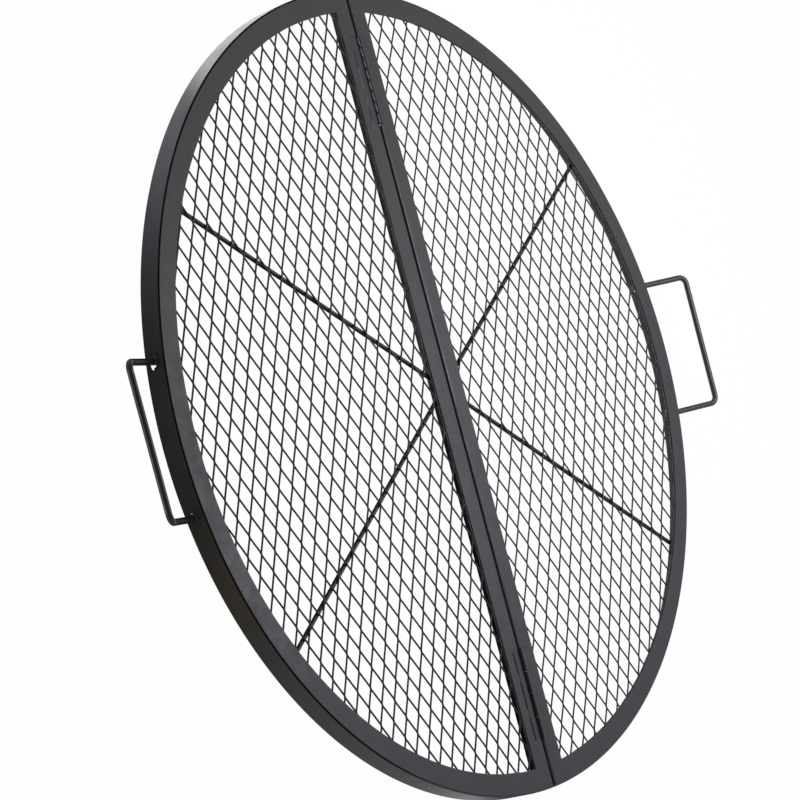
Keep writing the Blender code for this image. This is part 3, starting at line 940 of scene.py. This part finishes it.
for place, middle in HINGE_Y.items():
    for label, side in SIDES:
        bm = leaf(side, middle, 0 if side > 0 else 1)
        node = f"{place}_hinge_{label}_leaf"
        name = f"{place}_{label}_hinge_leaf"
        make(name, bm, label + "_half", HINGE_COAT[place], [node], bevel=(0.00022, 2, 55))
    stations = [-HINGE_HALF, -HINGE_HALF + PIN_EASE, HINGE_HALF - PIN_EASE, HINGE_HALF]
    pin = [Vector((0.0, middle + y, PIN_Z)) for y in stations]
    bm = sweep(pin, eased_ends(PIN_R, PIN_EASE, len(pin)), PIN_SIDES)
    make(f"{place}_round_pin", bm, "left_half", HINGE_COAT[place], [f"{place}_hinge_pin"], smooth=60)


# Welds that fill the slits round the leaves, ground flush; the deep ones sit lower and are coloured near
# black, as painted shade in the slit.
# (hinge, side): spans along the leaf as (from, to, depth below the face), then the depths at the
# leaf's front and rear end
FLUSH = 0.0
DEEP = 0.0022
FILLS = {
    ("front", -1): (
        [(-0.4034, -0.4030, FLUSH), (-0.4030, -0.3765, DEEP), (-0.3775, -0.3665, FLUSH),
         (-0.3680, -0.3355, DEEP), (-0.3368, -0.3265, FLUSH), (-0.3280, -0.3032, DEEP),
         (-0.3030, -0.3005, FLUSH)],
        (FLUSH, FLUSH),
    ),
    ("rear", -1): (
        [(0.3005, 0.3075, FLUSH), (0.3075, 0.3200, 0.0005), (0.3200, 0.3670, FLUSH),
         (0.3670, 0.3705, 0.0008), (0.3705, 0.3730, FLUSH), (0.3730, 0.3868, 0.0004),
         (0.3868, 0.4035, FLUSH)],
        (FLUSH, DEEP),
    ),
    ("front", 1): ([(-0.4035, -0.3005, FLUSH)], (FLUSH, DEEP)),
    ("rear", 1): ([(0.3005, 0.4035, FLUSH)], (FLUSH, DEEP)),
}
# A weld deeper than this is coloured near black, as painted shade in its slit
SHADED_FROM = 0.001
FILL_R = 0.0014
FILL_DROP = 0.00068
SLIT_X = 0.0124
SLIT_END_X = (0.0028, 0.0130)
SLIT_END_Y = 0.0512
# Pale smears of weld on the rear left leaf's slit, coloured as a painted highlight, from and to along Y
SMEARS = [(0.3430, 0.3570), (0.3580, 0.3670), (0.3240, 0.3320), (0.2960, 0.3030)]
SMEAR_X = -0.0123
SMEAR_SWAY = 0.0006
SMEAR_DROP = 0.00055
SMEAR_R = 0.00075


def fill(bm, start, stop, depth, seed):
    """A weld bead along a slit, pressed flat."""
    path = [start.lerp(stop, i / 4) for i in range(5)]
    for spot in path:
        spot.z = FACE - FILL_DROP - depth
    bead(bm, path, FILL_R, ripple=0.0022, flat=(UP, 0.5, path[0]), seed=seed)


for (place, side), (spans, ends) in FILLS.items():
    label = "left" if side < 0 else "right"
    middle = HINGE_Y[place]
    flush = bmesh.new()
    shaded_slits = bmesh.new()
    for number, (low, high, depth) in enumerate(spans):
        bm = flush if depth < SHADED_FROM else shaded_slits
        start = Vector((side * SLIT_X, low, 0.0))
        stop = Vector((side * SLIT_X, high, 0.0))
        fill(bm, start, stop, depth, number * 2.3 + side)
    for end, depth in zip((-1, 1), ends):
        bm = flush if depth < SHADED_FROM else shaded_slits
        start, stop = [Vector((side * x, middle + end * SLIT_END_Y, 0.0)) for x in SLIT_END_X]
        fill(bm, start, stop, depth, end * 1.9 + side)
    make(f"{place}_{label}_hinge_weld", flush, label + "_half", FRAME_COAT, smooth=60)
    if len(shaded_slits.verts):
        make(f"{place}_{label}_hinge_root_weld", shaded_slits, label + "_half", SLIT_SHADE_COAT, smooth=60)

bm = bmesh.new()
for number, (low, high) in enumerate(SMEARS):
    path = []
    for i in range(7):
        x = SMEAR_X + SMEAR_SWAY * math.sin(i + number)
        path.append(Vector((x, low + (high - low) * i / 6, FACE - SMEAR_DROP)))
    bead(bm, path, SMEAR_R, ripple=0.0030, seed=number * 3.7)
make("rear_left_hinge_smears", bm, "left_half", SMEAR_HIGHLIGHT_COAT, smooth=60)


# Small tack welds that hold the mesh under the frame, and the mesh's cut edge beside the opening, painted
# pale as a highlight

TACKS_ROUND = 15
TACKS_STRAIGHT = 10
TACK_RADIUS = 0.4415
TACK_X = 0.0155
TACK_Y = 0.39
TACK_R = 0.0020
TACK_DROP = 0.0011
EDGE_X = 0.0257
EDGE_Y = 0.42
EDGE_STEPS = 210
EDGE_RADIUS = 0.4319
EDGE_ARC = 83
EDGE_ARC_STEPS = 330


def tacks(side):
    bm = bmesh.new()
    spots = []
    for i in range(TACKS_ROUND):
        a = math.radians(-80 + 160 * i / (TACKS_ROUND - 1) + dice.uniform(-1.5, 1.5))
        spots.append(Vector((side * TACK_RADIUS * math.cos(a), TACK_RADIUS * math.sin(a), 0.0)))
    for i in range(TACKS_STRAIGHT):
        y = -TACK_Y + 2 * TACK_Y * i / (TACKS_STRAIGHT - 1) + dice.uniform(-0.006, 0.006)
        spots.append(Vector((side * TACK_X, y, 0.0)))
    for number, spot in enumerate(spots):
        run = Vector((-spot.y, spot.x, 0.0)).normalized() * dice.uniform(0.0035, 0.0050)
        if number >= TACKS_ROUND:
            run = Vector((0.0, dice.uniform(0.0035, 0.0050), 0.0))
        spot = spot + UP * (PLATE_LOW - TACK_DROP)
        bead(bm, [spot - run, spot, spot + run], TACK_R, seed=number * 1.3)
    return bm


def cut_edge(side):
    """A thin wavering line along the bar and round the rim."""
    bm = bmesh.new()
    straight = []
    for i in range(EDGE_STEPS + 1):
        y = -EDGE_Y + 2 * EDGE_Y * i / EDGE_STEPS
        sway = 0.0011 * noise.noise(Vector((y * 60, side * 3.0, 0.0)))
        straight.append(Vector((side * (EDGE_X + 0.3 * sway), y, PLATE_LOW + 0.0006 + sway)))
    bow = []
    for i in range(EDGE_ARC_STEPS + 1):
        a = math.radians(-EDGE_ARC + 2 * EDGE_ARC * i / EDGE_ARC_STEPS)
        sway = 0.0012 * noise.noise(Vector((a * 30, side * 5.0, 0.0)))
        r = EDGE_RADIUS - 0.3 * sway
        bow.append(Vector((side * r * math.cos(a), r * math.sin(a), PLATE_LOW + 0.0006 + sway)))
    for line in (straight, bow):
        sweep(line, [0.00035 + 0.00025 * abs(noise.noise(p * 300)) for p in line], 6, bm)
    return bm


for label, side in SIDES:
    make(label + "_mesh_tacks", tacks(side), label + "_half", WELD_COAT, smooth=60)
    # The cut edge is painted pale as a highlight
    make(label + "_mesh_edge", cut_edge(side), label + "_half", EDGE_HIGHLIGHT_COAT, smooth=60)


# Floor, light and camera
# The light comes from above and from the right; the side toward the photographer is dim

SOFT_FROM = (0.50, 0.30, 0.80)
SOFT_LOW = 0.224
SOFT_HIGH = 0.8
SHINY_FROM = (1.0, 0.0, 0.30)
SHINY_LOW = 0.224
SHINY_HIGH = 0.64

FLOOR_EDGE = 8.0
FLOOR_Z = -0.0003
# The share of the floor, as the camera sees it, that is plain white; the rest takes the shadow
FLOOR_WHITE = 0.975
# What polished steel sees of the floor: parts of it near the rim, each toward a direction from the middle,
# are painted dimmer than white, as shade that only reflections show. (direction, from, to, strength there)
FLOOR_REFLECTED_SHADE = [
    ((-1.0, 0.0, 0.0), 0.75, 1.0, 0.11),
    ((-0.669, -0.743, 0.0), 0.86, 0.985, 0.48),
    ((-0.035, -0.999, 0.0), 0.97, 1.0, 0.1),
]
# A part toward the rear left glows brighter than white in reflections: (direction, from, to, strength there)
FLOOR_REFLECTED_GLOW = ((-0.375, 0.927, 0.0), 0.95, 0.99, 2.6)
# Over these distances from the middle the painted shade near the rim ends, and the painted shadow under the
# grill ends
FLOOR_FAR = (0.53, 0.58)
FLOOR_REFLECTED_SHADOW = (0.40, 0.457, 0.35)
# Tints of the light that it throws back there
WHITE = (1.0, 1.0, 1.0)
FLOOR_BLUE = ((-0.848, 0.530, 0.0), 0.93, 0.99, (0.985, 0.98, 1.15))
FLOOR_WARM = ((-0.956, -0.292, 0.0), 0.965, 0.998, (1.10, 0.97, 0.60))


def seen_in_gloss(graph, path):
    return graph.calc("ADD", path["Is Glossy Ray"], path["Is Transmission Ray"])


def sky():
    world = bpy.data.worlds.new("studio")
    bpy.context.scene.world = world
    world.use_nodes = True
    world.node_tree.nodes.clear()
    graph = Graph(world.node_tree)
    way = graph.add("ShaderNodeTexCoord").outputs["Generated"]
    path = graph.add("ShaderNodeLightPath").outputs
    soft = graph.toward(way, SOFT_FROM, -1.0, 1.0, SOFT_LOW, SOFT_HIGH)
    shiny = graph.toward(way, SHINY_FROM, 0.20, 0.85, SHINY_LOW, SHINY_HIGH)
    strength = graph.mix(seen_in_gloss(graph, path), soft, shiny)
    strength = graph.mix(path["Is Camera Ray"], strength, 1.0)
    light = graph.add("ShaderNodeBackground")
    graph.put(WHITE, light.inputs["Color"])
    graph.put(strength, light.inputs["Strength"])
    graph.put(light.outputs["Background"], graph.add("ShaderNodeOutputWorld").inputs["Surface"])


def floor_coat():
    """Pale floor: plain white to the camera but for the shadow; reflections see painted shade near the rim, a
    painted shadow under the grill, a patch that glows brighter than white, and tints.
    """
    mat = bpy.data.materials.new("pale_floor")
    mat.use_nodes = True
    graph = Graph(mat.node_tree)
    nodes = mat.node_tree.nodes
    plain = nodes["Principled BSDF"]
    graph.put((0.90, 0.90, 0.90), plain.inputs["Base Color"])
    graph.put(0.9, plain.inputs["Roughness"])
    graph.put(0.1, plain.inputs["Specular IOR Level"])
    path = graph.add("ShaderNodeLightPath").outputs
    spot = graph.add("ShaderNodeTexCoord").outputs["Object"]
    unit = graph.add("ShaderNodeVectorMath", operation="NORMALIZE")
    graph.put(spot, unit.inputs[0])
    way = unit.outputs["Vector"]
    reach = graph.measure("LENGTH", spot)

    # Painted shade and shadow near and under the grill, and a glowing patch, seen only in reflections
    shade = 1.0
    for direction, low, high, there in FLOOR_REFLECTED_SHADE:
        shade = graph.calc("MULTIPLY", shade, graph.toward(way, direction, low, high, 1.0, there))
    shade = graph.mix(graph.remap(reach, *FLOOR_FAR, how="SMOOTHSTEP"), shade, 1.0)
    under_from, under_to, under = FLOOR_REFLECTED_SHADOW
    shade = graph.calc("MULTIPLY", shade, graph.remap(reach, under_from, under_to, under))
    direction, low, high, there = FLOOR_REFLECTED_GLOW
    shade = graph.calc("MULTIPLY", shade, graph.toward(way, direction, low, high, 1.0, there))
    hue = WHITE
    for direction, low, high, tint in (FLOOR_BLUE, FLOOR_WARM):
        hue = graph.blend(graph.toward(way, direction, low, high, 0.0, 1.0), hue, tint)

    glow = graph.add("ShaderNodeEmission")
    graph.put(graph.mix(path["Is Glossy Ray"], 1.0, shade), glow.inputs["Strength"])
    graph.put(graph.blend(path["Is Glossy Ray"], WHITE, hue), glow.inputs["Color"])
    share = graph.calc("MULTIPLY", path["Is Camera Ray"], FLOOR_WHITE)
    share = graph.calc("ADD", share, seen_in_gloss(graph, path))
    both = graph.add("ShaderNodeMixShader")
    graph.put(share, both.inputs["Fac"])
    graph.put(plain.outputs["BSDF"], both.inputs[1])
    graph.put(glow.outputs["Emission"], both.inputs[2])
    graph.put(both.outputs["Shader"], nodes["Material Output"].inputs["Surface"])
    return mat


def floor():
    mesh = bpy.data.meshes.new("floor")
    square = ((-1, -1), (1, -1), (1, 1), (-1, 1))
    mesh.from_pydata([(x * FLOOR_EDGE, y * FLOOR_EDGE, FLOOR_Z) for x, y in square], [], [(0, 1, 2, 3)])
    mesh.materials.append(floor_coat())
    obj = bpy.data.objects.new("floor", mesh)
    bpy.context.scene.collection.objects.link(obj)


def area_light(name, place, aim, size, power, spread=180, color=WHITE):
    lamp = bpy.data.lights.new(name, "AREA")
    lamp.color = color
    lamp.shape = "RECTANGLE"
    lamp.size, lamp.size_y = size
    lamp.energy = power
    lamp.spread = math.radians(spread)
    obj = bpy.data.objects.new(name, lamp)
    bpy.context.scene.collection.objects.link(obj)
    obj.location = place
    obj.rotation_euler = (Vector(aim) - Vector(place)).to_track_quat("-Z", "Y").to_euler()


def photo_camera():
    lens = bpy.data.cameras.new("photo_camera")
    lens.sensor_width = 36.0
    lens.lens = 132.866
    lens.clip_start = 0.05
    lens.clip_end = 60.0
    camera = bpy.data.objects.new("photo_camera", lens)
    bpy.context.scene.collection.objects.link(camera)
    right = Vector((0.594412, -0.254063, 0.762972))
    up = Vector((0.116971, 0.966006, 0.230542))
    back = Vector((-0.795608, -0.047791, 0.603924))
    turn_to = Matrix((right, up, back)).transposed().to_4x4()
    camera.matrix_world = Matrix.Translation((-2.636892, -0.157693, 1.955453)) @ turn_to
    bpy.context.scene.camera = camera


sky()
floor()
area_light("side_softbox", (0.95, -0.02, 1.15), (-0.2, 0.0, 0.0), (0.6, 0.5), 2.10, color=(0.98, 0.98, 1.05))
area_light("top_softbox", (0.30, 0.16, 1.30), (0.25, 0.16, 0.0), (0.4, 0.6), 1.14, spread=60)
photo_camera()
bpy.context.scene.view_settings.view_transform = "Standard"
